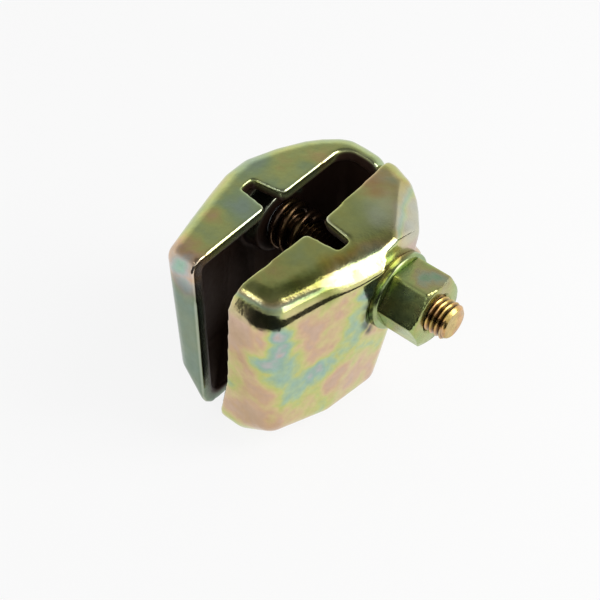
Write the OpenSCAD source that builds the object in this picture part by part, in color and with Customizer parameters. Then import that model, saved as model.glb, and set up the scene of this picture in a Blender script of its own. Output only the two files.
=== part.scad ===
// Two pressed steel jaws drawn together by one bolt with a washer and nut.
// The bolt lies along X with the nut at +X, the open mouth is at the -Y end, and Z is up.
// The origin is on the bolt's axis, in the middle of the gap between the jaws.

/* [Jaws] */
// Height of the jaws' top faces above the bolt's axis
jaw_above = 24; // [22:0.5:28]
// Depth of the jaws' bottom faces below the bolt's axis
jaw_below = 43; // [38:0.5:48]
// Distance from the bolt to the near end wall
near_reach = 49; // [44:0.5:56]
// Distance from the bolt to the far end wall
far_reach = 26; // [25:0.5:31]
// How far the far end wall slopes in towards the bottom
far_slope = 9; // [5:0.5:10]
// Thickness of the pressed steel
sheet = 4.5; // [3.5:0.1:5]
// Outside radius of every fold
fold_r = 7; // [6.5:0.1:8]

/* [Front jaw] */
// Distance from the middle of the gap to the front wall at the near end
front_near = 24; // [21:0.5:27]
// Distance from the middle of the gap to the front wall at its widest place
front_wide = 33; // [32:0.5:36]
// How deep the washer's seat is pressed into the front wall's widest place
seat_depth = 4; // [3:0.1:4.4]
// How far the washer's recess is drawn out upwards
recess_up = 10; // [7:0.5:12]
// How far the washer's recess is drawn out towards the far end
recess_far = 4; // [2:0.5:6]
// Height below the top at which the flat beside the recess starts
flat_drop = 1.3; // [0.9:0.1:2]
// How far the front wall leans in towards the bottom
front_lean = 5.5; // [2:0.5:7]
// How far the front jaw's top falls away towards the nut
front_fall = 1.5; // [0:0.1:2.5]
// Height of the bevel folded along the front jaw's lower edge
front_bevel = 6; // [3:0.5:9]

/* [Rear jaw] */
// Distance from the middle of the gap to the rear wall at the near end
rear_near = 20.5; // [18:0.5:24]
// Distance from the middle of the gap to the bolt head's seat
rear_seat = 31; // [30:0.5:36]
// Height of the bevel folded along the rear jaw's lower edge
rear_bevel = 10; // [8:0.5:14]

/* [Gap and slots] */
// Width of the gap at the top edges, beside the slots
gap_top = 15.6; // [14:0.2:18]
// Width of the gap at the bottom edges, below the slots
gap_bottom = 7.6; // [6.5:0.1:10]
// How far the front jaw's edge bows away from the gap beside the slot
front_bow = 1.6; // [0.3:0.1:2]
// How far the rear jaw's edge bows away from the gap beside the slot
rear_bow = 0.4; // [0.3:0.1:2]
// Depth below the bolt at which the front edge starts to run in more steeply
edge_turn = 19; // [12:1:26]
// How far the rear jaw's edge has rounded the far end of the gap
gap_end_r = 5; // [3:0.2:6]
// Width of each slot where it opens into the gap
slot_mouth = 7.4; // [6:0.2:9]
// Width of each slot at its closed end
slot_root = 5; // [4.2:0.2:5.8]
// Distance from the middle of the gap to each slot's closed end
slot_reach = 19.2; // [17:0.5:21]
// Distance of the slots from the bolt, towards the near end
slot_place = 13; // [10:0.5:18]

/* [Bolt and nut] */
// Thread diameter of the bolt
bolt_d = 12; // [10:1:13]
// How far the bolt stands out of the nut
bolt_out = 6.5; // [6:0.5:12]
// Width across the flats of the bolt's head
head_af = 18; // [17:1:21]
// Thickness of the bolt's head
head_h = 5.5; // [5:0.5:9]
// Width across the flats of the nut
nut_af = 21; // [20:0.5:22]
// Thickness of the nut
nut_h = 13.3; // [12:0.1:14]
// Outside diameter of the washer
washer_d = 26; // [24:0.5:29]
// Thickness of the washer
washer_h = 2.5; // [2:0.1:3.5]

/* [Spring] */
// Thickness of the spring's wire
wire_d = 2.4; // [1.8:0.1:2.8]
// Distance between the spring's open turns
spring_pitch = 5.2; // [4:0.1:6]
// Number of open turns between the spring's closed ends
spring_open = 1.25; // [1:0.25:2.5]

/* [Fits] */
// Gap around the bolt in each jaw's hole
hole_gap = 0.5; // [0.3:0.05:0.8]
// Gap between the washer's hole and the bolt
washer_gap = 0.6; // [0.4:0.1:1]
// Gap between the nut's hole and the bolt
nut_gap = 0.05; // [0.02:0.01:0.08]
// Gap between the heel and the front jaw's edge
heel_gap = 0.4; // [0.3:0.05:1]
// Gap between the spring and the bolt
spring_gap = 0.35; // [0.3:0.05:0.6]

/* [Hidden] */
jaw_h = jaw_above + jaw_below;
gap_shift = 4.5;
edge_front_low = gap_bottom / 2 - gap_shift;
edge_rear_low = gap_bottom / 2 + gap_shift;
front_bow_r = pow(near_reach - slot_place, 2) / (2 * front_bow);
rear_bow_r = pow(near_reach - slot_place, 2) / (2 * rear_bow);
far_tilt = atan(far_slope / jaw_h);
heel_y = far_reach - 10;
edge_front_turn = gap_top / 2 - 0.48 * gap_shift - 1;
slot_corner = 2;
rear_tip_r = 2.2;
front_near_r = fold_r + 3;
head_pad_r = 11.5;
rear_pad_len = 14;
front_seat = front_wide - seat_depth;
seat_r = washer_d / 2 + 1.2;
seat_back = 7;
hole_r = bolt_d / 2 + hole_gap;
nut_seat = front_seat + washer_h;
bolt_end = nut_seat + nut_h + bolt_out;
coil_r = bolt_d / 2 + spring_gap + wire_d / 2;
coil_turns = spring_open + 2;
steps = 28;

// Points half way along a run of corners, set out on the smooth curve through them
function between(c) = [for (i = [0 : len(c) - 2])
  (9 * (c[i] + c[i + 1]) - c[max(i - 1, 0)] - c[min(i + 2, len(c) - 1)]) / 16];

// The rounded corner posts of one pressing, which opens towards -X.
// less is taken off every corner's radius to leave the inside of the sheet.
// tip_r is the near fold's radius where it reaches the open side, and back is
// how far behind the gap the corners on the open side lie.
module posts(less, near, near_r, tip_r, seat, swell, lean, fall, bevel, back) {
  r = fold_r - less;
  tip = max(tip_r, less + 0.3);
  high = jaw_above - fold_r;
  low = fold_r - jaw_below;
  y_near = fold_r - near_reach;
  y_far = far_reach - fold_r;
  x_seat = seat - fold_r;
  // upper corners as [x, y, z, radius]: near end, both sides of the seat, far end, open side
  upper = [
    [near - near_r, near_r - near_reach, jaw_above - near_r - fall, near_r],
    [x_seat - 2.6 - 0.2 * swell, -15 - 1.6 * swell, high - fall, fold_r],
    [x_seat - 0.5 * swell, 1.5 - 2.4 * swell, high - fall, fold_r],
    [x_seat - 4.7 - 1.6 * swell, 8.8 + 1.3 * swell, high - fall, fold_r],
    [x_seat - 9.6 - 1.7 * swell, 14.7 + swell, high - fall / 2, fold_r],
    [7.4, y_far + 0.6, high - fall / 5, fold_r],
    [back, y_far + 0.3, high, fold_r]
  ];
  // lowest corners, at the inner side of the bevel
  lowest = [
    [near - fold_r - lean - 6, y_near, low, fold_r],
    [x_seat - 6.5 - lean, -10, low, fold_r],
    [x_seat - 9.5 - lean, -4, low, fold_r],
    [6, y_far - far_slope, low, fold_r]
  ];
  for (c = concat(upper, between(upper), lowest, between(lowest))) {
    translate([c[0], c[1], c[2]]) sphere(c[3] - less);
  }
  translate([back, tip - near_reach, jaw_above - tip]) sphere(tip - less);
  // outer lower corners, drawn in under the upper ones and above the bevel
  translate([near - fold_r - lean / 2, y_near, low + bevel]) sphere(r);
  translate([x_seat - 3.6 - lean / 2, -8, low + bevel * 0.15]) sphere(r);
  translate([(near + seat) / 2 - fold_r - 0.4 - lean / 2, (y_near - 8) / 2, low + bevel * 0.35]) sphere(r);
  // lowest corners of the open side
  translate([back, y_near, low]) sphere(r);
  translate([back, y_far - far_slope, low]) sphere(r);
}

// One jaw's shell: the pressing less the same pressing smaller by the sheet.
// What is drawn as its child stays solid inside the shell.
module shell(near, near_r, tip_r, seat, swell, lean, fall, bevel, back) {
  difference() {
    hull() posts(0, near, near_r, tip_r, seat, swell, lean, fall, bevel, back, $fn = 32);
    difference() {
      hull() posts(sheet, near, near_r, tip_r, seat, swell, lean, fall, bevel, back, $fn = 32);
      children();
    }
  }
}

// A broad round block whose side is a jaw's bowed edge, leaning with the gap
module edge_block(top_x, low_x, bow_r) {
  tilt = atan((top_x - low_x) / jaw_h);
  mid_x = top_x - jaw_above * tan(tilt);
  translate([mid_x, -slot_place, 0]) rotate([0, tilt, 0])
    translate([-bow_r, 0, 0]) cylinder(r = bow_r, h = 3 * jaw_h, center = true, $fn = 360);
}

// The slot cut into a jaw's top, with rounded corners where it meets the gap
module slot() {
  edge = gap_top / 2;
  wide = slot_mouth / 2;
  thin = slot_root / 2;
  turn = edge + slot_corner;
  translate([0, -slot_place, jaw_above - 2 * sheet]) linear_extrude(3 * sheet) {
    polygon([[-1, -wide], [turn, -wide], [slot_reach, -thin],
      [slot_reach, thin], [turn, wide], [-1, wide]]);
    for (side = [-1, 1]) {
      difference() {
        translate([edge - 2, side > 0 ? wide - 1 : -wide - slot_corner])
          square([slot_corner + 2, slot_corner + 1]);
        translate([turn, side * (wide + slot_corner)]) circle(slot_corner, $fn = 48);
      }
    }
  }
}

// The front jaw's gap edge, which runs in more steeply below the turn
module front_edge() {
  turn_h = jaw_above + edge_turn;
  upper = (gap_top / 2 - edge_front_turn) / turn_h;
  lower = (edge_front_turn - edge_front_low) / (jaw_h - turn_h);
  intersection() {
    edge_block(gap_top / 2, gap_top / 2 - upper * jaw_h, front_bow_r);
    edge_block(edge_front_low + lower * jaw_h, edge_front_low, front_bow_r);
  }
}

// The room of the gap that the rear jaw's edge leaves, short of its rounded far end
module gap_room(in_x, in_y) {
  intersection() {
    edge_block(gap_top / 2 - in_x, edge_rear_low - in_x, rear_bow_r);
    rotate([-far_tilt, 0, 0])
      translate([-50, heel_y - in_y - 200, -100]) cube([100, 200, 200]);
  }
}

// The rounded far end of the gap, leaning as the edge and the far wall do
module gap_end() {
  top_y = heel_y / cos(far_tilt) + jaw_above * tan(far_tilt) - gap_end_r;
  low_y = heel_y / cos(far_tilt) - jaw_below * tan(far_tilt) - gap_end_r;
  top_x = gap_top / 2 - pow(top_y + slot_place, 2) / (2 * rear_bow_r) - gap_end_r;
  low_x = edge_rear_low - pow(low_y + slot_place, 2) / (2 * rear_bow_r) - gap_end_r;
  translate([top_x, top_y, jaw_above])
    rotate([-atan((top_y - low_y) / jaw_h), atan((top_x - low_x) / jaw_h), 0])
      translate([0, 0, -2 * jaw_h]) cylinder(r = gap_end_r, h = 3 * jaw_h, $fn = 96);
}

// A flat round pad on a jaw's wall for the washer or the bolt's head to bear on
module pad(seat, len, r) {
  translate([seat - len, 0, 0]) rotate([0, 90, 0]) cylinder(r = r, h = len, $fn = 96);
}

// The same pad drawn out upwards and towards the far end, as the washer's recess is
module long_pad(seat, len, r) {
  hull() {
    pad(seat, len, r);
    translate([0, recess_far, recess_up]) pad(seat, len, r);
  }
}

// What lies outside the flat that runs on from the recess over the front jaw's far side
module beyond_far_flat() {
  translate([front_seat - 5.8, 6.3, jaw_above - flat_drop])
    rotate([0, -54.3, 31]) translate([0, -40, -40]) cube(80);
}

module bolt_hole(seat) {
  translate([seat - 22, 0, 0]) rotate([0, 90, 0]) cylinder(r = hole_r, h = 30, $fn = 96);
}

// Rear jaw, whose far end wraps round as the heel
module rear_jaw() {
  color([0.62, 0.62, 0.46]) intersection() {
    mirror([1, 0, 0]) difference() {
      union() {
        shell(rear_near, sheet + 0.8, rear_tip_r, rear_seat + 0.3, 2.5, 0.4, 0,
          rear_bevel, fold_r - gap_top / 2)
            pad(rear_seat, rear_pad_len, head_pad_r);
        pad(rear_seat, 3, head_pad_r - 1);
      }
      gap_room(0, gap_end_r);
      gap_room(gap_end_r, 0);
      gap_end();
      slot();
      bolt_hole(rear_seat);
    }
    translate([-heel_gap, 0, 0]) front_edge();
  }
}

// Front jaw, with the washer's flat seat pressed into its widest place
module front_jaw() {
  color([0.66, 0.62, 0.44]) difference() {
    union() {
      shell(front_near, front_near_r, fold_r, front_wide, 0, front_lean, front_fall, front_bevel, -14)
        long_pad(front_seat, seat_back, seat_r + 3);
      pad(front_seat, seat_back, seat_r);
    }
    long_pad(front_seat + 20, 20, seat_r + 0.5);
    beyond_far_flat();
    front_edge();
    slot();
    bolt_hole(front_seat);
  }
}

// Bolt with a hexagon head behind the rear jaw and a chamfered thread end
module bolt() {
  r = bolt_d / 2;
  color([0.72, 0.60, 0.38]) {
    translate([-rear_seat, 0, 0]) rotate([0, 90, 0])
      rotate_extrude($fn = 96)
        polygon([[0, -1], [r, -1], [r, bolt_end + rear_seat - 1.2],
          [r - 1.2, bolt_end + rear_seat], [0, bolt_end + rear_seat]]);
    translate([-rear_seat - head_h, 0, 0]) rotate([0, 90, 0]) intersection() {
      cylinder(r = head_af / 2 / cos(30), h = head_h, $fn = 6);
      rotate_extrude($fn = 96)
        polygon([[0, 0], [head_af / 2 - 0.6, 0], [head_af / 2 + 2, 1.5],
          [head_af / 2 + 2, head_h], [0, head_h]]);
    }
  }
}

// Loose round washer on the front jaw's seat
module washer() {
  r = washer_d / 2;
  color([0.64, 0.64, 0.46])
    translate([front_seat, 0, 0]) rotate([0, 90, 0])
      rotate_extrude($fn = 96)
        polygon([[bolt_d / 2 + washer_gap, 0], [r - 0.3, 0], [r, 0.3], [r, washer_h - 0.5],
          [r - 0.5, washer_h], [bolt_d / 2 + washer_gap, washer_h]]);
}

// Hexagon nut, its corners chamfered on the outer side
module nut() {
  color([0.60, 0.62, 0.44]) translate([nut_seat, 0, 0]) rotate([0, 90, 0]) difference() {
    rotate([0, 0, 23]) intersection() {
      cylinder(r = nut_af / 2 / cos(30), h = nut_h, $fn = 6);
      rotate_extrude($fn = 96)
        polygon([[0, 0], [nut_af / 2 + 0.6, 0], [nut_af / 2 + 3, 1.4],
          [nut_af / 2 + 3, nut_h - 2], [nut_af / 2 - 0.4, nut_h], [0, nut_h]]);
    }
    translate([0, 0, -1]) cylinder(r = bolt_d / 2 + nut_gap, h = nut_h + 2, $fn = 96);
    translate([0, 0, nut_h - 0.8])
      cylinder(r1 = bolt_d / 2 + nut_gap, r2 = bolt_d / 2 + 1, h = 0.81, $fn = 96);
  }
}

// Distance along the spring after a number of turns: closed, open, closed
function coil_run(t) = wire_d * min(t, 1) + spring_pitch * max(0, min(t - 1, spring_open))
  + wire_d * max(0, t - 1 - spring_open);

// Coil spring round the bolt, standing on the rear jaw's pad
module spring() {
  sides = 12;
  rings = round(coil_turns * steps);
  start = rear_pad_len - rear_seat + wire_d / 2 + 0.05;
  points = [for (k = [0:rings], s = [0:sides - 1])
    let (turn = k / steps, a = 360 * turn, b = 360 * s / sides, r = coil_r + wire_d / 2 * cos(b))
    [start + coil_run(turn) + wire_d / 2 * sin(b), r * cos(a), r * sin(a)]];
  walls = [for (k = [0:rings - 1], s = [0:sides - 1])
    let (n = (s + 1) % sides, i = k * sides)
    [i + s, i + n, i + n + sides, i + s + sides]];
  caps = [[for (s = [sides - 1:-1:0]) s], [for (s = [0:sides - 1]) rings * sides + s]];
  color([0.70, 0.58, 0.36]) polyhedron(points, concat(walls, caps), convexity = 6);
}

rear_jaw();
front_jaw();
bolt();
washer();
nut();
spring();
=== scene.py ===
import math

import bmesh
import bpy
import numpy as np
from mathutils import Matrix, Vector


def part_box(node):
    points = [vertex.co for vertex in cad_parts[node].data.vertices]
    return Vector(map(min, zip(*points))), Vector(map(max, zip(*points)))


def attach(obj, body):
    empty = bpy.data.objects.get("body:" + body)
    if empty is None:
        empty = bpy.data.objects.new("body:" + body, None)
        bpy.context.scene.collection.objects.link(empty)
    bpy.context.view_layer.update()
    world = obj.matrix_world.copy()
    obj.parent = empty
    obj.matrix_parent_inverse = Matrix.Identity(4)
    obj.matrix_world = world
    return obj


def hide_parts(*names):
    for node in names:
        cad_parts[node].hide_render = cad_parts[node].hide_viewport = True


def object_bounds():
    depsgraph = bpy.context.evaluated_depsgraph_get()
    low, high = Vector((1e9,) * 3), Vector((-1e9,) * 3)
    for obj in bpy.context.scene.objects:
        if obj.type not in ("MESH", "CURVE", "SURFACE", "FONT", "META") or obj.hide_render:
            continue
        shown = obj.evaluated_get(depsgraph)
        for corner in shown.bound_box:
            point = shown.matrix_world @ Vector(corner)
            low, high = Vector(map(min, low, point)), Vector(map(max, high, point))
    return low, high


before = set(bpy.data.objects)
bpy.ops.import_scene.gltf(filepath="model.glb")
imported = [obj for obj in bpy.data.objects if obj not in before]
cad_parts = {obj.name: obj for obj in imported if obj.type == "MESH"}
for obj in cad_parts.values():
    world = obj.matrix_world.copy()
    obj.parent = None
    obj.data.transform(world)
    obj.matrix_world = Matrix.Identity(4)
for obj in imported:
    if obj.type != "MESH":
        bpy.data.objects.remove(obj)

cad_low, cad_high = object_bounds()

# ---------------------------------------------------------------------------
# Table top, light and camera.  The clamp stands on its lower edges on a pale
# table, under a soft dome of light with one long soft lamp on the nut's side.
# A folded dark card, seen only in the plating, stands near to draw its folds.
# ---------------------------------------------------------------------------


def placed(tree, kind, settings, **choices):
    """A node with its choices made and its inputs set, or linked where a socket is given."""
    node = tree.nodes.new(kind)
    for name, choice in choices.items():
        setattr(node, name, choice)
    for name, value in settings.items():
        if isinstance(value, bpy.types.NodeSocket):
            tree.links.new(value, node.inputs[name])
        else:
            node.inputs[name].default_value = value
    return node


def maths(tree, operation, *values):
    """The result of one sum on numbers or sockets."""
    return placed(tree, "ShaderNodeMath", dict(enumerate(values)), operation=operation).outputs[0]


def graded(tree, value, stops):
    """The colour at a value, through stops of (value, colour)."""
    ramp = placed(tree, "ShaderNodeValToRGB", {0: value})
    elements = ramp.color_ramp.elements
    while len(elements) < len(stops):
        elements.new(0.5)
    for element, (at, colour) in zip(elements, stops):
        element.position = at
        element.color = (*colour, 1)
    return ramp.outputs["Color"]


def empty_material(name):
    """A new material with no nodes in it."""
    material = bpy.data.materials.new(name)
    material.use_nodes = True
    material.node_tree.nodes.clear()
    return material


def in_scene(name, data):
    """A new object of the scene, at the origin."""
    thing = bpy.data.objects.new(name, data)
    bpy.context.scene.collection.objects.link(thing)
    return thing


table_z = cad_low.z
table_half = 0.45
paper_grey = 0.86
glow_share = 0.86
floor_mesh = bpy.data.meshes.new("floor")
floor_mesh.from_pydata([(-table_half, -table_half, table_z), (table_half, -table_half, table_z),
                        (table_half, table_half, table_z), (-table_half, table_half, table_z)],
                       [], [(0, 1, 2, 3)])
floor = in_scene("floor", floor_mesh)
paper = empty_material("white_paper")
tree = paper.node_tree
matt = placed(tree, "ShaderNodeBsdfDiffuse", {"Color": (paper_grey, paper_grey, paper_grey, 1)})
glow = placed(tree, "ShaderNodeEmission", {"Color": (1, 1, 1, 1), "Strength": 1.0})
path = placed(tree, "ShaderNodeLightPath", {}).outputs
seen = maths(tree, "MAXIMUM", path["Is Camera Ray"], path["Is Glossy Ray"])
seen = maths(tree, "MAXIMUM", seen, path["Is Transmission Ray"])
mix = placed(tree, "ShaderNodeMixShader", {0: maths(tree, "MULTIPLY", seen, glow_share),
                                           1: matt.outputs[0], 2: glow.outputs[0]})
placed(tree, "ShaderNodeOutputMaterial", {"Surface": mix.outputs[0]})
floor.data.materials.append(paper)

# The card's top edge runs through these points; its foot is on the table.
card_top = [(-0.036, -0.150, 0.088), (0.070, -0.150, 0.088), (0.122, -0.094, 0.060),
            (0.200, -0.062, 0.018), (0.200, 0.200, 0.018)]
card_mesh = bpy.data.meshes.new("dark_card")
card_mesh.from_pydata([(x, y, table_z) for x, y, top in card_top] + card_top, [],
                      [(i, i + 1, len(card_top) + i + 1, len(card_top) + i)
                       for i in range(len(card_top) - 1)])
card = in_scene("dark_card", card_mesh)
card.visible_camera = card.visible_diffuse = card.visible_shadow = False
felt = empty_material("dark_card")
nap = placed(felt.node_tree, "ShaderNodeBsdfDiffuse", {"Color": (0.006, 0.006, 0.008, 1)})
placed(felt.node_tree, "ShaderNodeOutputMaterial", {"Surface": nap.outputs[0]})
card_mesh.materials.append(felt)

world = bpy.data.worlds.new("studio")
bpy.context.scene.world = world
world.use_nodes = True
tree = world.node_tree
tree.nodes.clear()
where = placed(tree, "ShaderNodeTexCoord", {}).outputs["Generated"]
up = placed(tree, "ShaderNodeSeparateXYZ", {0: where}).outputs["Z"]
dome = graded(tree, up, [(0.30, (0.97, 0.97, 0.97)), (0.66, (0.42, 0.43, 0.44)),
                         (0.83, (0.38, 0.38, 0.38)), (0.92, (0.15, 0.15, 0.15)),
                         (1.00, (0.15, 0.15, 0.15))])
sky = placed(tree, "ShaderNodeBackground", {"Color": dome, "Strength": 1.0})
placed(tree, "ShaderNodeOutputWorld", {"Surface": sky.outputs[0]})


def soft_lamp(name, towards, wide, tall, watts, colour):
    """A soft lamp that stands in a direction from the clamp and points at it."""
    distance = 0.60
    lamp = bpy.data.lights.new(name, "AREA")
    lamp.shape = "RECTANGLE"
    lamp.size, lamp.size_y = wide, tall
    lamp.energy = watts
    lamp.color = colour
    thing = in_scene(name, lamp)
    at = Vector(towards).normalized() * distance
    thing.location = at
    thing.rotation_mode = "QUATERNION"
    thing.rotation_quaternion = (-at).to_track_quat("-Z", "Y")


soft_lamp("nut_side_lamp", (0.72, 0.44, 0.53), wide=0.26, tall=0.74, watts=2.6,
          colour=(1.0, 0.99, 0.98))
soft_lamp("long_lamp", (0.82, 0.14, 0.55), wide=0.34, tall=0.12, watts=0.30,
          colour=(1.0, 0.99, 0.94))
soft_lamp("near_lamp", (-0.32, -0.52, 0.79), wide=0.12, tall=0.05, watts=0.07,
          colour=(0.95, 0.98, 1.0))

scene = bpy.context.scene
scene.view_settings.view_transform = "Standard"
lens = bpy.data.cameras.new("camera")
lens.sensor_width = 36.0
lens.lens = 84.1
lens.shift_x, lens.shift_y = -0.0378, -0.0922
lens.clip_start, lens.clip_end = 0.01, 20.0
camera = in_scene("camera", lens)
camera.location = (0.2000, -0.2361, 0.3122)
camera.rotation_mode = "QUATERNION"
camera.rotation_quaternion = (-Vector(camera.location)).to_track_quat("-Z", "Y")
scene.camera = camera

# ---------------------------------------------------------------------------
# Rear jaw.  A deep cup pressed from 4.5 mm steel sheet, its far end wrapped
# round as the heel, its slot and gap edge sawn, then zinc plated and yellow
# passivated.  The bolt's head bears on a flat pad behind it.
# ---------------------------------------------------------------------------
MM = 0.001


def shared_group(title, kind, inputs, outputs):
    """A node group with named inputs (name, type, value) and outputs (name, type)."""
    group = bpy.data.node_groups.new(title, kind)
    for name, sort, value in inputs:
        socket = group.interface.new_socket(name, in_out="INPUT", socket_type="NodeSocket" + sort)
        if value is not None:
            socket.default_value = value
    for name, sort in outputs:
        group.interface.new_socket(name, in_out="OUTPUT", socket_type="NodeSocket" + sort)
    given, made = group.nodes.new("NodeGroupInput"), group.nodes.new("NodeGroupOutput")
    return group, given.outputs, made.inputs


def ranged(tree, value, to_min, to_max, from_min=0.0, from_max=1.0, how="LINEAR"):
    """The value carried from one range to another."""
    return placed(tree, "ShaderNodeMapRange",
                  {"Value": value, "From Min": from_min, "From Max": from_max,
                   "To Min": to_min, "To Max": to_max}, interpolation_type=how).outputs["Result"]


def film_group():
    """Yellow passivation over zinc: a thin film whose thickness, and so colour, drifts."""
    group, given, made = shared_group(
        "passivation film", "ShaderNodeTree",
        [("Patch Size", "Float", 0.02), ("Shift", "Float", 0.0), ("Spread", "Float", 1.0),
         ("Place", "Vector", None)],
        [("Color", "Color"), ("Thickness", "Float")])
    finer = 4.6
    fine_share = 0.20
    scale = maths(group, "DIVIDE", 1.0, given["Patch Size"])
    at = placed(group, "ShaderNodeVectorMath",
                {0: placed(group, "ShaderNodeTexCoord", {}).outputs["Object"], 1: given["Place"]},
                operation="ADD").outputs[0]
    broad = placed(group, "ShaderNodeTexNoise", {"Vector": at, "Scale": scale, "Detail": 2.0,
                                                 "Roughness": 0.45, "Distortion": 0.35})
    fine = placed(group, "ShaderNodeTexNoise", {"Vector": at, "Detail": 4.0, "Roughness": 0.6,
                                                "Scale": maths(group, "MULTIPLY", scale, finer)})
    both = placed(group, "ShaderNodeMix", {"Factor": fine_share, "A": broad.outputs["Fac"],
                                           "B": fine.outputs["Fac"]}, data_type="FLOAT")
    centred = maths(group, "SUBTRACT", both.outputs["Result"], 0.5)
    thickness = maths(group, "MULTIPLY_ADD", centred, given["Spread"], given["Shift"])
    colour = graded(group, thickness, [
        (0.00, (0.40, 0.50, 0.42)), (0.14, (0.44, 0.54, 0.30)), (0.26, (0.60, 0.62, 0.24)),
        (0.35, (0.72, 0.56, 0.24)), (0.42, (0.74, 0.46, 0.30)), (0.49, (0.68, 0.50, 0.44)),
        (0.56, (0.53, 0.52, 0.54)), (0.64, (0.34, 0.54, 0.47)), (0.72, (0.46, 0.62, 0.38)),
        (0.80, (0.63, 0.66, 0.22)), (0.88, (0.75, 0.60, 0.30)), (0.95, (0.74, 0.48, 0.32)),
        (1.00, (0.70, 0.47, 0.36))])
    group.links.new(colour, made["Color"])
    group.links.new(thickness, made["Thickness"])
    return group


def grain_group():
    """Grain of pressed and plated sheet: shallow dents, fine pits and small stains."""
    group, given, made = shared_group(
        "plated grain", "ShaderNodeTree", [("Dents", "Float", 1.0), ("Pits", "Float", 1.0)],
        [("Height", "Float"), ("Stain", "Float")])
    at = placed(group, "ShaderNodeTexCoord", {}).outputs["Object"]
    heights = []
    for scale, detail, level in ((170.0, 2.0, "Dents"), (1300.0, 3.0, "Pits")):
        noise = placed(group, "ShaderNodeTexNoise", {"Vector": at, "Scale": scale,
                                                     "Detail": detail})
        heights.append(maths(group, "MULTIPLY", noise.outputs["Fac"], given[level]))
    group.links.new(maths(group, "ADD", *heights), made["Height"])
    overlay = placed(group, "ShaderNodeTexNoise", {"Vector": at, "Scale": 420.0, "Detail": 5.0,
                                                 "Roughness": 0.65})
    group.links.new(ranged(group, overlay.outputs["Fac"], 0.0, 1.0, 0.35, 0.68), made["Stain"])
    return group


def band_group():
    """A soft mask by height on the piece: 0 below Low, 1 above High."""
    group, given, made = shared_group(
        "height band", "ShaderNodeTree", [("Low", "Float", 0.0), ("High", "Float", 0.01)],
        [("Mask", "Float")])
    at = placed(group, "ShaderNodeTexCoord", {}).outputs["Object"]
    height = placed(group, "ShaderNodeSeparateXYZ", {0: at}).outputs["Z"]
    group.links.new(ranged(group, height, 0.0, 1.0, given["Low"], given["High"], "SMOOTHSTEP"),
                    made["Mask"])
    return group


def ragged_group():
    """The piece's own coordinates, shaken by a noise, so that patches get ragged edges."""
    group, given, made = shared_group(
        "ragged place", "ShaderNodeTree", [("Size", "Float", 0.006), ("Reach", "Float", 0.004)],
        [("Place", "Vector")])
    at = placed(group, "ShaderNodeTexCoord", {}).outputs["Object"]
    scale = maths(group, "DIVIDE", 1.0, given["Size"])
    noise = placed(group, "ShaderNodeTexNoise", {"Vector": at, "Scale": scale, "Detail": 3.0})
    middle = placed(group, "ShaderNodeVectorMath", {0: noise.outputs["Color"], 1: (0.5, 0.5, 0.5)},
                    operation="SUBTRACT")
    reach = placed(group, "ShaderNodeVectorMath", {0: middle.outputs[0], "Scale": given["Reach"]},
                   operation="SCALE")
    moved = placed(group, "ShaderNodeVectorMath", {0: at, 1: reach.outputs[0]})
    group.links.new(moved.outputs[0], made["Place"])
    return group


def patch_group():
    """A soft round patch: 1 at its centre, falling to 0 at twice its radius."""
    group, given, made = shared_group(
        "film patch", "ShaderNodeTree",
        [("Place", "Vector", None), ("Centre", "Vector", None), ("Radius", "Float", 0.005)],
        [("Mask", "Float")])
    away = placed(group, "ShaderNodeVectorMath", {0: given["Place"], 1: given["Centre"]},
                  operation="DISTANCE")
    share = maths(group, "DIVIDE", away.outputs["Value"], given["Radius"])
    group.links.new(ranged(group, share, 1.0, 0.0, 0.0, 2.0, "SMOOTHSTEP"), made["Mask"])
    return group


passivation, plate_grain, height_band = film_group(), grain_group(), band_group()
ragged_place, film_patch = ragged_group(), patch_group()


def film_runs(tree, runs, before):
    """A value with runs of patches laid on it, each (change, [(x, y, z, radius) in mm])."""
    ragged = placed(tree, "ShaderNodeGroup", {}, node_tree=ragged_place).outputs["Place"]
    total = before
    for change, patches in runs:
        most = None
        for x, y, z, r in patches:
            spot = placed(tree, "ShaderNodeGroup",
                          {"Place": ragged, "Centre": (x * MM, y * MM, z * MM), "Radius": r * MM},
                          node_tree=film_patch).outputs["Mask"]
            most = spot if most is None else maths(tree, "MAXIMUM", most, spot)
        total = maths(tree, "MULTIPLY_ADD", most, change, total)
    return total


def tint(tree, below, above, mask, how="MIX"):
    """Colour below, with colour above laid over it where the mask is 1."""
    return placed(tree, "ShaderNodeMix", {"A": below, "B": (*above, 1), "Factor": mask},
                  data_type="RGBA", blend_type=how).outputs["Result"]


def plated(name):
    """A new material, its node tree and its metal shader."""
    skin = bpy.data.materials.new(name)
    skin.use_nodes = True
    return skin, skin.node_tree, skin.node_tree.nodes["Principled BSDF"]


def bumped(tree, height, strength, distance, bsdf):
    """The grain's height as a bump on the shader's normal."""
    bump = placed(tree, "ShaderNodeBump", {"Height": height, "Strength": strength,
                                           "Distance": distance})
    tree.links.new(bump.outputs["Normal"], bsdf.inputs["Normal"])


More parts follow.
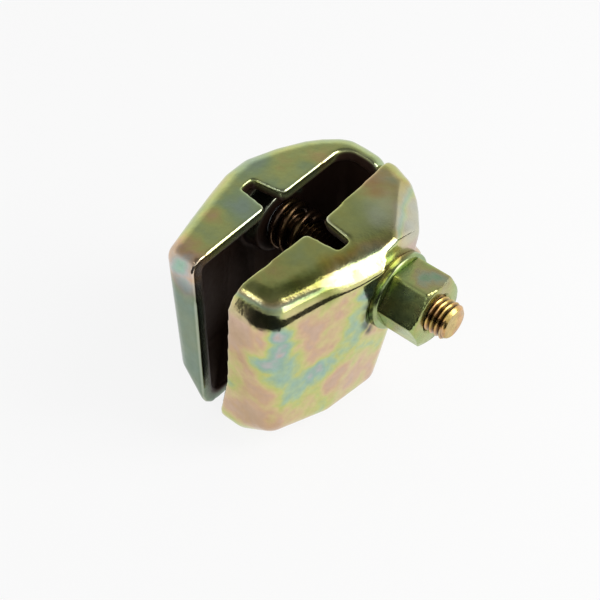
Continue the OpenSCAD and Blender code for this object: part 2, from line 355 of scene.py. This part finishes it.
def jaw_plating(name, place, patch, shift, top_shift, spread, runs, top_colour, top_share,
                fold_share, wash, wash_share, stains_and_painted_shade=(), pale=()):
    """Plated and passivated sheet, paler on its edges as worn plating and painted highlight, and
    dark inside the cup, mostly as painted shade.
    """
    fold_colour, edge_wear_and_highlight_colour = (0.60, 0.62, 0.28), (0.88, 0.86, 0.72)
    spot_colour, hollow_shade_colour = (0.55, 0.50, 0.42), (0.055, 0.028, 0.018)
    spot_share = 0.20
    clean_metal, hollow_metal = 0.97, 0.55
    clean_rough, stained_rough, hollow_rough = 0.11, 0.20, 0.30
    skin, tree, bsdf = plated(name)

    def higher(low, high):
        return placed(tree, "ShaderNodeGroup", {"Low": low * MM, "High": high * MM},
                      node_tree=height_band).outputs["Mask"]

    grain = placed(tree, "ShaderNodeGroup", {"Dents": 1.0, "Pits": 0.22}, node_tree=plate_grain)
    top, wall, fold = higher(19.0, 22.5), higher(10.0, 21.0), higher(12.5, 16.5)
    film = placed(tree, "ShaderNodeGroup",
                  {"Patch Size": patch, "Spread": spread, "Place": place,
                   "Shift": film_runs(tree, runs, ranged(tree, top, shift, top_shift))},
                  node_tree=passivation)
    inside = placed(tree, "ShaderNodeAttribute", {}, attribute_name="inside").outputs["Fac"]
    edge = placed(tree, "ShaderNodeAttribute", {}, attribute_name="edge").outputs["Fac"]
    colour = tint(tree, film.outputs["Color"], wash, ranged(tree, wall, wash_share, 0.0))
    colour = tint(tree, colour, fold_colour, maths(tree, "MULTIPLY", fold, fold_share))
    covered = maths(tree, "MULTIPLY", top, top_share)
    if pale:
        covered = film_runs(tree, [(-top_share, pale)], covered)
    colour = tint(tree, colour, top_colour, covered, "MULTIPLY")
    spotted = maths(tree, "MULTIPLY", grain.outputs["Stain"], spot_share)
    colour = tint(tree, colour, spot_colour, spotted, "MULTIPLY")
    # Pale edges: worn plating, and a painted highlight along the rounded cut edges.
    colour = tint(tree, colour, edge_wear_and_highlight_colour, edge)
    # Patches laid on last: real stains and streaks, and painted shade and painted reflection.
    for overlay, blend, share, patches in stains_and_painted_shade:
        colour = tint(tree, colour, overlay, film_runs(tree, [(share, patches)], 0.0), blend)
    # Painted shade, with some stain: the inside of the cup is tinted dark brown.
    tree.links.new(tint(tree, colour, hollow_shade_colour, inside), bsdf.inputs["Base Color"])
    metal = ranged(tree, inside, clean_metal, hollow_metal)
    tree.links.new(metal, bsdf.inputs["Metallic"])
    rough = ranged(tree, grain.outputs["Stain"], clean_rough, stained_rough)
    rough = maths(tree, "MULTIPLY_ADD", inside, hollow_rough, rough)
    tree.links.new(rough, bsdf.inputs["Roughness"])
    bumped(tree, grain.outputs["Height"], 0.35, 0.35 * MM, bsdf)
    return skin


def coordinates(mesh):
    """The mesh's points as rows of x, y, z."""
    place = np.zeros(len(mesh.vertices) * 3)
    mesh.vertices.foreach_get("co", place)
    return place.reshape(-1, 3)


def smooth_shaded(mesh, sharp_from=None):
    """Smooth shading, with edges sharp from an angle in degrees where one is given."""
    mesh.polygons.foreach_set("use_smooth", [True] * len(mesh.polygons))
    if sharp_from is not None:
        mesh.set_sharp_from_angle(angle=math.radians(sharp_from))


def evaluated_mesh(thing):
    """A plain mesh of the object with its modifiers applied."""
    bpy.context.view_layer.update()
    seen = thing.evaluated_get(bpy.context.evaluated_depsgraph_get())
    return bpy.data.meshes.new_from_object(seen)


def pressed_jaw(node, gap_side):
    """The pressing as one fine smooth skin, eased at its cut edges, with its two masks."""
    voxel, smooth_rounds, edge_rounds = 0.47 * MM, 6, 12
    smooth_share, swell_share = 0.55, 0.565 * 0.93
    spread_rounds, spread_gain = 4, 1.6
    cut_bend, pale_edge_bend = (0.05 * MM, 0.11 * MM), (0.06 * MM, 0.18 * MM)
    hollow_middle = np.array((gap_side * -9.0, -12.0, -6.0)) * MM
    facing_in = (-0.10, 0.15)
    work = bmesh.new()
    work.from_mesh(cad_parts[node].data)
    bmesh.ops.remove_doubles(work, verts=work.verts, dist=0.01 * MM)
    mesh = bpy.data.meshes.new(node + "_pressing")
    work.to_mesh(mesh)
    work.free()
    piece = in_scene(node + "_pressing", mesh)
    finer = piece.modifiers.new("finer", "REMESH")
    finer.mode = "VOXEL"
    finer.voxel_size = voxel
    finer.adaptivity = 0.0
    skin = evaluated_mesh(piece)
    piece.modifiers.clear()
    piece.data = skin
    skin.name = node + "_pressing"
    place = coordinates(skin)
    count = len(place)
    ends = np.zeros(len(skin.edges) * 2, np.int64)
    skin.edges.foreach_get("vertices", ends)
    ends = ends.reshape(-1, 2)
    degree = np.bincount(ends.ravel(), minlength=count).astype(float)[:, None]

    def beside(values):
        total = np.zeros_like(values)
        for axis in range(values.shape[1]):
            total[:, axis] = (np.bincount(ends[:, 0], values[ends[:, 1], axis], count)
                              + np.bincount(ends[:, 1], values[ends[:, 0], axis], count))
        return total / degree

    def settled(values, times, share):
        for step in range(times):
            values = values + share * (beside(values) - values)
        return values

    def normals():
        skin.vertices.foreach_set("co", place.ravel())
        skin.update()
        normal = np.zeros(count * 3)
        skin.vertex_normals.foreach_get("vector", normal)
        return normal.reshape(-1, 3)

    def ridge(normal, times):
        return ((place - settled(place, times, 0.5)) * normal).sum(1)[:, None]

    # Rounds that smooth the skin and swell it back, so that it keeps its size.
    for step in range(smooth_rounds):
        place += smooth_share * (beside(place) - place)
        place -= swell_share * (beside(place) - place)
    # The cut edges, found where the skin bends most, are eased further.
    cut = np.interp(np.abs(ridge(normals(), 5)), cut_bend, (0, 1))
    for step in range(spread_rounds):
        cut = np.maximum(cut, np.clip(beside(cut) * spread_gain, 0, 1))
    for step in range(edge_rounds):
        place += cut * 0.5 * (beside(place) - place)
    normal = normals()
    # Sharply bent edges get a mask for a paler colour: worn plating and a painted highlight.
    edge = np.interp(ridge(normal, 6), pale_edge_bend, (0, 1))
    # The inside is the skin that faces the middle of the hollow.
    to_middle = hollow_middle - place
    to_middle /= np.linalg.norm(to_middle, axis=1)[:, None]
    inside = np.interp((to_middle * normal).sum(1)[:, None], facing_in, (0, 1))
    inside = settled(inside, 3, 0.6)
    for name, values in (("inside", inside), ("edge", edge * (1 - inside))):
        layer = skin.attributes.new(name, "FLOAT", "POINT")
        layer.data.foreach_set("value", np.ascontiguousarray(values[:, 0], np.float32))
    smooth_shaded(skin)
    skin.update()
    return piece


rear = pressed_jaw("rear_jaw", gap_side=1)
rear.data.materials.clear()
rear.data.materials.append(jaw_plating(
    "plated_sheet_rear", place=(0.31, 0.12, 0.57), patch=0.020, shift=0.18, top_shift=0.17,
    spread=0.9,
    runs=[(0.41, [(-12.9, -47.9, 20.0, 6.0), (-11.0, -49.0, 14.0, 5.0)]),
          (0.16, [(-18.0, -43.1, 23.4, 4.0), (-17.6, -29.9, 24.0, 3.0), (-10.0, 12.0, 24.0, 4.0)]),
          (-0.14, [(-14.0, -22.0, 24.0, 4.0), (-22.0, -6.0, 24.0, 5.0)])],
    top_colour=(0.90, 0.94, 0.88), top_share=1.0, fold_share=0.1,
    wash=(0.130, 0.195, 0.165), wash_share=0.82))
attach(rear, "rear")
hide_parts("rear_jaw")

# ---------------------------------------------------------------------------
# Bolt.  An M12 hexagon bolt with rolled thread, plated and passivated yellow.
# It passes through both jaws from behind and stands out of the nut.
# ---------------------------------------------------------------------------
bolt_low, bolt_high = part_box("bolt")
thread_r = 6.0 * MM
root_r = 5.1 * MM
pitch = 1.75 * MM
end_chamfer = 1.2 * MM
thread_from = -17.5 * MM
head_h = 5.5 * MM
head_af = 18.0 * MM
head_face = bolt_low.x + head_h


def turned_ring(work, x, radii, turn=0.0):
    """Points round the bolt's axis, one for each radius, the first at the angle of the turn."""
    step = 2 * math.pi / len(radii)
    return [work.verts.new((x, r * math.cos(i * step + turn), r * math.sin(i * step + turn)))
            for i, r in enumerate(radii)]


def skinned(work, rings):
    """Faces from each ring of points to the next; a ring may be a single point."""
    for one, two in zip(rings, rings[1:]):
        around = max(len(one), len(two))
        for i in range(around):
            j = (i + 1) % around
            corners = (one[i % len(one)], one[j % len(one)], two[j % len(two)], two[i % len(two)])
            work.faces.new(list(dict.fromkeys(corners)))


def closed_mesh(work, mesh, sharp_from):
    """The mesh with the worked faces in it, turned outwards, smooth up to an angle in degrees."""
    bmesh.ops.recalc_face_normals(work, faces=work.faces)
    work.to_mesh(mesh)
    work.free()
    smooth_shaded(mesh, sharp_from)
    return mesh


def hexagon_bar(name, low_x, high_x, across, corner_r, chamfer_low=0.0, chamfer_high=0.0,
                bore=0.0, bore_chamfer=0.0, turn=0.0):
    """Hexagon bar of a nut or head along X, its corners rounded and its ends chamfered."""
    around = 168
    row = eased_edge = 0.25 * MM
    rows_at_ends = 13
    chamfer_slope = 1.75
    flat, sixth = across / 2, math.pi / 3
    long = high_x - low_x
    round_centre = (flat - corner_r) / math.cos(sixth / 2)

    def side(angle):
        off_flat = (angle + sixth / 2) % sixth - sixth / 2
        off_corner = abs(off_flat) - sixth / 2
        straight = flat / math.cos(off_flat)
        aside = round_centre * math.sin(off_corner)
        if abs(aside) >= corner_r:
            return straight
        return min(straight, round_centre * math.cos(off_corner)
                   + math.sqrt(corner_r ** 2 - aside ** 2))

    sides = [side(2 * math.pi * i / around) for i in range(around)]
    levels = sorted({0.12 * MM} | {row * i for i in range(rows_at_ends)}
                    | {long - row * i for i in range(rows_at_ends)}
                    | {long * share for share in (0.35, 0.5, 0.65)})
    work = bmesh.new()
    rings = []
    for x in levels:
        limits = [flat - chamfer + chamfer_slope * inwards
                  for chamfer, inwards in ((chamfer_low, x), (chamfer_high, long - x)) if chamfer]
        eased_by = max(0.0, eased_edge - min(x, long - x))
        radii = [min(limits + [straight - eased_by]) for straight in sides]
        rings.append(turned_ring(work, low_x + x, radii, turn))
    if bore:
        for x, r in ((long, bore + bore_chamfer), (long - bore_chamfer, bore),
                     (bore_chamfer, bore), (0.0, bore + bore_chamfer)):
            rings.append(turned_ring(work, low_x + x, [r] * around, turn))
        rings.append(rings[0])
    else:
        work.faces.new(rings[0][::-1])
        work.faces.new(rings[-1])
    skinned(work, rings)
    return in_scene(name, closed_mesh(work, bpy.data.meshes.new(name), 32))


def fastener_plating(name, place, patch, shift, spread, wash, wash_share, dark, dark_share,
                     rough_to=0.30, root=0.0, crest=0.0, runs=(), shade_inside=0.0):
    """Plated and passivated fastener; between root and crest radius it goes from painted shade in
    the thread's roots to its own colour.
    """
    inside_shade_colour = (0.05, 0.026, 0.012)
    fully_shaded_to, unshaded_from = 18.0 * MM, 27.0 * MM
    root_share, unshaded_end = 0.93, 0.9 * MM
    clean_rough = 0.18
    skin, tree, bsdf = plated(name)
    film = placed(tree, "ShaderNodeGroup",
                  {"Patch Size": patch, "Spread": spread, "Place": place,
                   "Shift": film_runs(tree, runs, shift) if runs else shift},
                  node_tree=passivation)
    grain = placed(tree, "ShaderNodeGroup", {"Dents": 0.5, "Pits": 0.3}, node_tree=plate_grain)
    colour = tint(tree, film.outputs["Color"], wash, wash_share)
    colour = tint(tree, colour, dark, maths(tree, "MULTIPLY", grain.outputs["Stain"], dark_share))
    if crest or shade_inside:
        at = placed(tree, "ShaderNodeTexCoord", {}).outputs["Object"]
        along = placed(tree, "ShaderNodeSeparateXYZ", {0: at}).outputs["X"]
    # Painted shade: the thread's roots are darkened, from the thread's start to near the bolt's
    # end.
    if crest:
        flat = placed(tree, "ShaderNodeVectorMath", {0: at, 1: (0.0, 1.0, 1.0)},
                      operation="MULTIPLY")
        far = placed(tree, "ShaderNodeVectorMath", {0: flat.outputs[0]}, operation="LENGTH")
        low = ranged(tree, far.outputs["Value"], root_share, 0.0, root, crest)
        cut = maths(tree, "MULTIPLY", maths(tree, "GREATER_THAN", along, thread_from),
                    maths(tree, "LESS_THAN", along, bolt_high.x - unshaded_end))
        colour = tint(tree, colour, dark, maths(tree, "MULTIPLY", low, cut))
    # Painted shade: darker where the piece lies between the jaws, fully up to 18 mm along X and
    # fading out by 27 mm, the bolt's head left out.
    if shade_inside:
        deep = ranged(tree, along, shade_inside, 0.0, fully_shaded_to, unshaded_from)
        shank = maths(tree, "GREATER_THAN", along, head_face)
        colour = tint(tree, colour, inside_shade_colour, maths(tree, "MULTIPLY", deep, shank))
    tree.links.new(colour, bsdf.inputs["Base Color"])
    bsdf.inputs["Metallic"].default_value = 0.97
    rough = ranged(tree, grain.outputs["Stain"], clean_rough, rough_to)
    tree.links.new(rough, bsdf.inputs["Roughness"])
    bumped(tree, grain.outputs["Height"], 0.3, 0.2 * MM, bsdf)
    return skin


def tree_for(title, sizes):
    """An empty tree of one piece, with an input for each named size and for its finish."""
    return shared_group(title, "GeometryNodeTree",
                        [("Geometry", "Geometry", None),
                         *((name, "Float", value) for name, value in sizes.items()),
                         ("Finish", "Material", None)],
                        [("Geometry", "Geometry")])


def wrapped(tree, x, radius, angle):
    """A place at an angle round the bolt's axis."""
    return placed(tree, "ShaderNodeCombineXYZ",
                  {"X": x, "Y": maths(tree, "MULTIPLY", radius, maths(tree, "COSINE", angle)),
                   "Z": maths(tree, "MULTIPLY", radius, maths(tree, "SINE", angle))}).outputs[0]


def end_of_tree(tree, shape, given, made):
    """Makes the shape's instances real, gives it its finish and puts it out."""
    real = placed(tree, "GeometryNodeRealizeInstances", {"Geometry": shape})
    finish = placed(tree, "GeometryNodeSetMaterial",
                    {"Geometry": real.outputs["Geometry"], "Material": given["Finish"]})
    tree.links.new(finish.outputs["Geometry"], made["Geometry"])
    return tree


def thread_tree(sizes):
    """Rolled thread: a sheet of rows laid along the helix and rolled round X."""
    tree, given, made = tree_for("rolled thread", sizes)
    around, rows_per_turn = 65, 8
    half_root, flank = 0.0625, 0.375    # shares of the pitch
    turns = math.ceil((bolt_high.x - thread_from) / pitch) + 1
    sheet = placed(tree, "GeometryNodeMeshGrid",
                   {"Size X": 1.0, "Size Y": 1.0, "Vertices X": around,
                    "Vertices Y": turns * rows_per_turn + 1})
    place = placed(tree, "GeometryNodeInputPosition", {}).outputs[0]
    split = placed(tree, "ShaderNodeSeparateXYZ", {0: place}).outputs
    u = maths(tree, "ADD", split["X"], 0.5)
    v = maths(tree, "ADD", split["Y"], 0.5)
    along_turns = maths(tree, "MULTIPLY_ADD", v, float(turns), -1.0)
    # Whole turns keep the phase above 0, and the rest keeps the rows off its step.
    phase = maths(tree, "FRACT", maths(tree, "ADD", along_turns, 8.0001))
    wave = maths(tree, "ABSOLUTE", maths(tree, "SUBTRACT", phase, 0.5))
    slope = maths(tree, "DIVIDE", maths(tree, "SUBTRACT", wave, half_root), flank)
    held = placed(tree, "ShaderNodeClamp", {"Value": slope}).outputs[0]
    deep = maths(tree, "SUBTRACT", given["Crest Radius"], given["Root Radius"])
    radius = maths(tree, "MULTIPLY_ADD", held, deep, given["Root Radius"])
    x = maths(tree, "MULTIPLY_ADD", maths(tree, "ADD", along_turns, u), given["Pitch"],
              given["Start"])
    x = maths(tree, "MINIMUM", maths(tree, "MAXIMUM", x, given["Start"]), given["End"])
    end_r = maths(tree, "SUBTRACT", given["Crest Radius"], given["End Chamfer"])
    chamfered = maths(tree, "ADD", end_r, maths(tree, "SUBTRACT", given["End"], x))
    r = maths(tree, "MINIMUM", radius, chamfered)
    rolled = placed(tree, "GeometryNodeSetPosition",
                    {"Geometry": sheet.outputs["Mesh"],
                     "Position": wrapped(tree, x, r, maths(tree, "MULTIPLY", u, -2 * math.pi))})
    welded = placed(tree, "GeometryNodeMergeByDistance",
                    {"Geometry": rolled.outputs["Geometry"], "Distance": 0.004 * MM})
    return end_of_tree(tree, welded.outputs["Geometry"], given, made)


def grown(name, tree, sizes, finish):
    """The plain mesh that a tree grows for one piece, with its inputs set by socket."""
    thing = in_scene(name, bpy.data.meshes.new(name))
    grow = thing.modifiers.new("grow", "NODES")
    grow.node_group = tree
    settings = {**sizes, "Finish": finish}
    for item in tree.interface.items_tree:
        if item.in_out == "INPUT" and item.name in settings:
            grow[item.identifier] = settings[item.name]
    shape = evaluated_mesh(thing)
    thing.modifiers.clear()
    thing.data = shape
    shape.name = name
    return thing


thread_sizes = {"Start": thread_from, "End": bolt_high.x, "Pitch": pitch,
                "Crest Radius": thread_r, "Root Radius": root_r, "End Chamfer": end_chamfer}
# The bolt's thread roots and its shank between the jaws get painted shade.
bolt_finish = fastener_plating(
    "yellow_passivated_bolt", place=(0.7, 0.1, 0.2), patch=0.006, shift=0.40, spread=1.5,
    wash=(0.74, 0.42, 0.10), wash_share=0.60, dark=(0.035, 0.014, 0.007), dark_share=0.34,
    root=5.15 * MM, crest=5.85 * MM, shade_inside=0.84)
thread = grown("bolt_thread", thread_tree(thread_sizes), thread_sizes, bolt_finish)

# The thread's open ends are closed, and the plain shank is turned behind it.
shank_around = 64
shank_from, shank_to, shank_end = (head_face - 0.3 * MM, thread_from - 0.4 * MM,
                                   thread_from + 0.2 * MM)
work = bmesh.new()
work.from_mesh(thread.data)
bmesh.ops.dissolve_degenerate(work, dist=0.003 * MM, edges=work.edges)
bmesh.ops.holes_fill(work, edges=[edge for edge in work.edges if edge.is_boundary], sides=0)
skinned(work, [turned_ring(work, x, [r] * (shank_around if r else 1)) for x, r in (
    (shank_from, 0.0), (shank_from, thread_r), (shank_to, thread_r),
    (shank_end, root_r - 0.05 * MM), (shank_end, 0.0))])
closed_mesh(work, thread.data, 28)

head = hexagon_bar("bolt_head", bolt_low.x, head_face, head_af, corner_r=0.5 * MM,
                   chamfer_low=0.5 * MM)
head.data.materials.append(bolt_finish)
for piece in (thread, head):
    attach(piece, "rear")
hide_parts("bolt")

# ---------------------------------------------------------------------------
# Spring.  A short right-hand coil of 2.4 mm wire round the bolt, its end
# turns closed, standing on the rear jaw's pad with its other end free.
# ---------------------------------------------------------------------------
spring_low, spring_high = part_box("spring")
wire_d = 2.4 * MM
coil_r = (spring_high.y - spring_low.y) / 2 - wire_d / 2
open_turns, closed_turns = 1.25, 2.0
open_pitch = (spring_high.x - spring_low.x - wire_d * (1 + closed_turns)) / open_turns
coil_sizes = {"Wire": wire_d, "Coil Radius": coil_r, "Turns": open_turns + closed_turns,
              "Open Turns": open_turns, "Open Pitch": open_pitch,
              "Start": spring_low.x + wire_d / 2}


def spring_tree(sizes):
    """A round wire swept along a helix whose first and last turns lie closed."""
    tree, given, made = tree_for("closed end spring", sizes)
    line = placed(tree, "GeometryNodeCurvePrimitiveLine", {"End": (1, 0, 0)})
    many = placed(tree, "GeometryNodeResampleCurve", {"Curve": line.outputs["Curve"],
                                                      "Count": 240})
    along = placed(tree, "GeometryNodeSplineParameter", {}).outputs["Factor"]
    t = maths(tree, "MULTIPLY", along, given["Turns"])
    past = maths(tree, "MAXIMUM", maths(tree, "SUBTRACT", t, 1.0), 0.0)
    over = maths(tree, "MAXIMUM", maths(tree, "SUBTRACT", past, given["Open Turns"]), 0.0)
    closed = maths(tree, "ADD", maths(tree, "MINIMUM", t, 1.0), over)
    opened = maths(tree, "MINIMUM", past, given["Open Turns"])
    x = maths(tree, "MULTIPLY_ADD", closed, given["Wire"], given["Start"])
    x = maths(tree, "MULTIPLY_ADD", opened, given["Open Pitch"], x)
    helix = wrapped(tree, x, given["Coil Radius"], maths(tree, "MULTIPLY", t, 2 * math.pi))
    wound = placed(tree, "GeometryNodeSetPosition", {"Geometry": many.outputs["Curve"],
                                                     "Position": helix})
    section = placed(tree, "GeometryNodeCurvePrimitiveCircle",
                     {"Resolution": 20, "Radius": maths(tree, "MULTIPLY", given["Wire"], 0.5)})
    swept = placed(tree, "GeometryNodeCurveToMesh",
                   {"Curve": wound.outputs["Geometry"], "Profile Curve": section.outputs["Curve"],
                    "Fill Caps": True})
    return end_of_tree(tree, swept.outputs["Mesh"], given, made)


# The spring's dark wash and heavy dark stains are partly its own colour and partly painted shade,
# and its darkening between the jaws is painted shade.
spring = grown("coil_spring", spring_tree(coil_sizes), coil_sizes, fastener_plating(
    "yellow_passivated_spring", place=(0.2, 0.4, 0.9), patch=0.009, shift=0.40, spread=0.8,
    wash=(0.42, 0.24, 0.10), wash_share=0.6, dark=(0.06, 0.03, 0.02), dark_share=0.55,
    rough_to=0.38, shade_inside=0.74))
work = bmesh.new()
work.from_mesh(spring.data)
bmesh.ops.remove_doubles(work, verts=work.verts, dist=0.005 * MM)
closed_mesh(work, spring.data, 40)
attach(spring, "rear")
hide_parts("spring")

# ---------------------------------------------------------------------------
# Front jaw.  The second pressing of the same sheet, wider at the bolt, where
# a round flat seat is pressed in for the washer and draws the top down.
# ---------------------------------------------------------------------------
front = pressed_jaw("front_jaw", gap_side=-1)
skin_points = coordinates(front.data)


def eased(values, low, high):
    """Rises smoothly from 0 at low to 1 at high, both in mm."""
    share = np.clip((values / MM - low) / (high - low), 0, 1)
    return share * share * (3 - 2 * share)


seat_dip = 2.0 * MM
across, along, up = skin_points.T.copy()
skin_points[:, 2] -= (seat_dip * eased(across, 16.5, 30.5) * eased(along, -31.0, -18.0)
                      * (1 - eased(along, -12.0, 12.0)) * eased(up, 14.5, 21.0))
front.data.vertices.foreach_set("co", skin_points.ravel())
front.data.update()
front.data.materials.clear()
front.data.materials.append(jaw_plating(
    "plated_sheet_front", place=(0.0, 0.0, 0.0), patch=0.013, shift=0.89, top_shift=0.25,
    spread=0.95,
    runs=[(-0.26, [(21.9, -45.0, 11.4, 3.4), (21.5, -45.2, 5.2, 4.0), (21.2, -45.5, -1.2, 5.0),
                   (21.9, -43.9, -8.4, 6.4), (22.8, -39.7, -14.4, 6.0), (23.9, -35.1, -14.0, 4.4),
                   (25.1, -30.8, -13.3, 4.2), (26.3, -26.2, -12.9, 4.2), (27.4, -21.8, -11.5, 4.6),
                   (28.3, -18.7, -8.3, 5.0), (28.9, -17.3, -2.2, 5.4), (29.4, -16.7, 4.0, 5.0),
                   (30.0, -15.7, 9.6, 4.6)]),
          (0.10, [(10.2, -49.0, 5.2, 5.0), (11.1, -49.0, -29.1, 7.0), (25.1, -35.3, 8.7, 4.0)]),
          (0.14, [(9.0, 15.3, 23.6, 6.0), (12.0, -20.0, 23.0, 3.5)]),
          (-0.12, [(15.2, -25.8, 22.7, 5.0), (18.0, 3.0, 22.8, 4.0)]),
          (0.30, [(27.0, 8.5, 19.5, 6.5), (23.0, 13.0, 20.5, 6.5)])],
    top_colour=(0.80, 0.82, 0.66), top_share=1.0, fold_share=0.55,
    wash=(0.30, 0.31, 0.17), wash_share=0.20,
    pale=[(13.0, 9.0, 23.5, 5.0), (19.0, 5.0, 22.6, 4.5), (8.0, 13.0, 23.5, 4.5)],
    # Painted shadow of the nut and washer on the seat, left of the washer.
    stains_and_painted_shade=[((0.030, 0.030, 0.024), "MIX", 0.97,
             [(29.5, -13.6, 5.0, 1.9), (29.5, -13.9, 1.0, 2.1), (29.5, -13.6, -3.5, 2.1),
              (29.5, -12.4, -7.5, 1.6)]),
            # Painted shade: dims the lamp's reflection along the near part of the front fold.
            ((0.42, 0.48, 0.28), "MULTIPLY", 0.9,
             [(22.9, -29.6, 21.1, 4.2), (20.3, -34.4, 21.4, 3.8), (24.9, -28.4, 19.8, 3.8)]),
            # Painted shade: a dark line along the crease where the top begins to turn down.
            ((0.34, 0.39, 0.28), "MULTIPLY", 0.55,
             [(13.3, -41.7, 22.2, 1.7), (14.6, -40.3, 22.4, 1.7), (15.6, -38.4, 22.4, 1.7),
              (16.6, -36.5, 22.3, 1.7), (17.4, -34.4, 22.4, 1.7), (18.1, -32.2, 22.4, 1.7),
              (18.9, -30.1, 22.4, 1.7), (19.4, -27.6, 22.5, 1.7), (20.2, -25.5, 22.5, 1.7),
              (20.9, -23.3, 22.5, 1.7), (21.7, -21.0, 22.5, 1.7), (22.5, -18.8, 22.5, 1.7),
              (23.2, -16.6, 22.5, 1.7), (24.0, -14.4, 22.5, 1.7), (24.5, -11.8, 22.5, 1.7)]),
            ((0.98, 0.80, 0.42), "MULTIPLY", 0.8,
             [(20.0, -22.0, 22.4, 2.6), (21.5, -17.5, 22.4, 2.6), (23.0, -13.5, 22.3, 2.2)]),
            ((0.64, 0.69, 0.54), "MIX", 0.35, [(18.0, 7.3, 23.1, 4.0), (21.0, 3.0, 22.7, 3.6)]),
            ((0.90, 0.66, 0.56), "MULTIPLY", 0.75,
             [(8.7, 12.9, 23.6, 3.0), (12.5, 9.5, 23.4, 2.4)]),
            # Painted reflection: a dark blob on the fold at the front jaw's near corner.
            ((0.34, 0.36, 0.42), "MULTIPLY", 0.95,
             [(15.8, -46.6, 18.2, 2.6), (18.3, -46.2, 17.6, 2.8), (20.2, -45.2, 17.4, 2.4)]),
            ((0.80, 0.78, 0.64), "MULTIPLY", 0.9,
             [(9.5, -49.0, 6.0, 5.0), (9.5, -49.0, -4.0, 6.0), (9.5, -49.0, -16.0, 7.0),
              (12.0, -48.0, -29.0, 7.0)]),
            ((0.46, 0.58, 0.66), "MIX", 0.45,
             [(27.0, 8.5, 19.5, 5.0), (26.5, 13.0, 16.0, 6.0), (24.0, 16.0, 19.0, 5.0)])]))
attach(front, "front")
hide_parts("front_jaw")

# ---------------------------------------------------------------------------
# Washer.  A loose M12 washer stamped from plated steel, rounded on its
# punched side, lying in the front jaw's seat.
# ---------------------------------------------------------------------------
washer_low, washer_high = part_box("washer")
near, far = washer_low.x, washer_high.x
hole_r, rim_r = 6.6 * MM, (washer_high.y - washer_low.y) / 2
washer_around = 128
# Steps in from a corner's two faces, in mm: along the bolt and across it.
eased_corner = [(0.0, 0.28), (0.1, 0.08), (0.28, 0.0)]
rolled_corner = [(0.7, 0.0), (0.35, 0.1), (0.1, 0.35), (0.0, 0.75)]
section = ([(near + x * MM, rim_r - r * MM) for x, r in eased_corner]
           + [(far - x * MM, rim_r - r * MM) for x, r in rolled_corner]
           + [(far - x * MM, hole_r + r * MM) for x, r in eased_corner]
           + [(near + x * MM, hole_r + r * MM) for x, r in reversed(eased_corner)])
work = bmesh.new()
rings = [turned_ring(work, x, [r] * washer_around) for x, r in section]
skinned(work, rings + rings[:1])
ring = in_scene("washer_ring", closed_mesh(work, bpy.data.meshes.new("washer_ring"), 50))
ring.data.materials.append(fastener_plating(
    "yellow_passivated_washer", place=(0.4, 0.9, 0.1), patch=0.012, shift=0.24, spread=0.9,
    wash=(0.28, 0.40, 0.18), wash_share=0.80, dark=(0.12, 0.13, 0.06), dark_share=0.25))
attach(ring, "washer")
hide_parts("washer")

# ---------------------------------------------------------------------------
# Nut.  A long hexagon nut, 21 mm across its flats as a scaffold spanner
# fits, chamfered outside and countersunk, run up against the washer.
# ---------------------------------------------------------------------------
nut_low, nut_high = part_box("nut")
nut_af = 21.0 * MM
nut = hexagon_bar("hexagon_nut", nut_low.x, nut_high.x, nut_af, corner_r=0.7 * MM,
                  chamfer_high=0.4 * MM, bore=6.08 * MM, bore_chamfer=0.8 * MM,
                  turn=math.radians(23))
nut.data.materials.append(fastener_plating(
    "yellow_passivated_nut", place=(0.15, 0.33, 0.8), patch=0.012, shift=0.31, spread=1.1,
    wash=(0.26, 0.40, 0.13), wash_share=0.58, dark=(0.20, 0.14, 0.09), dark_share=0.22,
    runs=[(0.25, [(38.0, 1.2, 10.4, 3.6), (41.0, 4.0, 9.6, 3.0)]),
          (-0.16, [(38.0, -9.0, -2.0, 4.0)])]))
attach(nut, "nut")
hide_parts("nut")
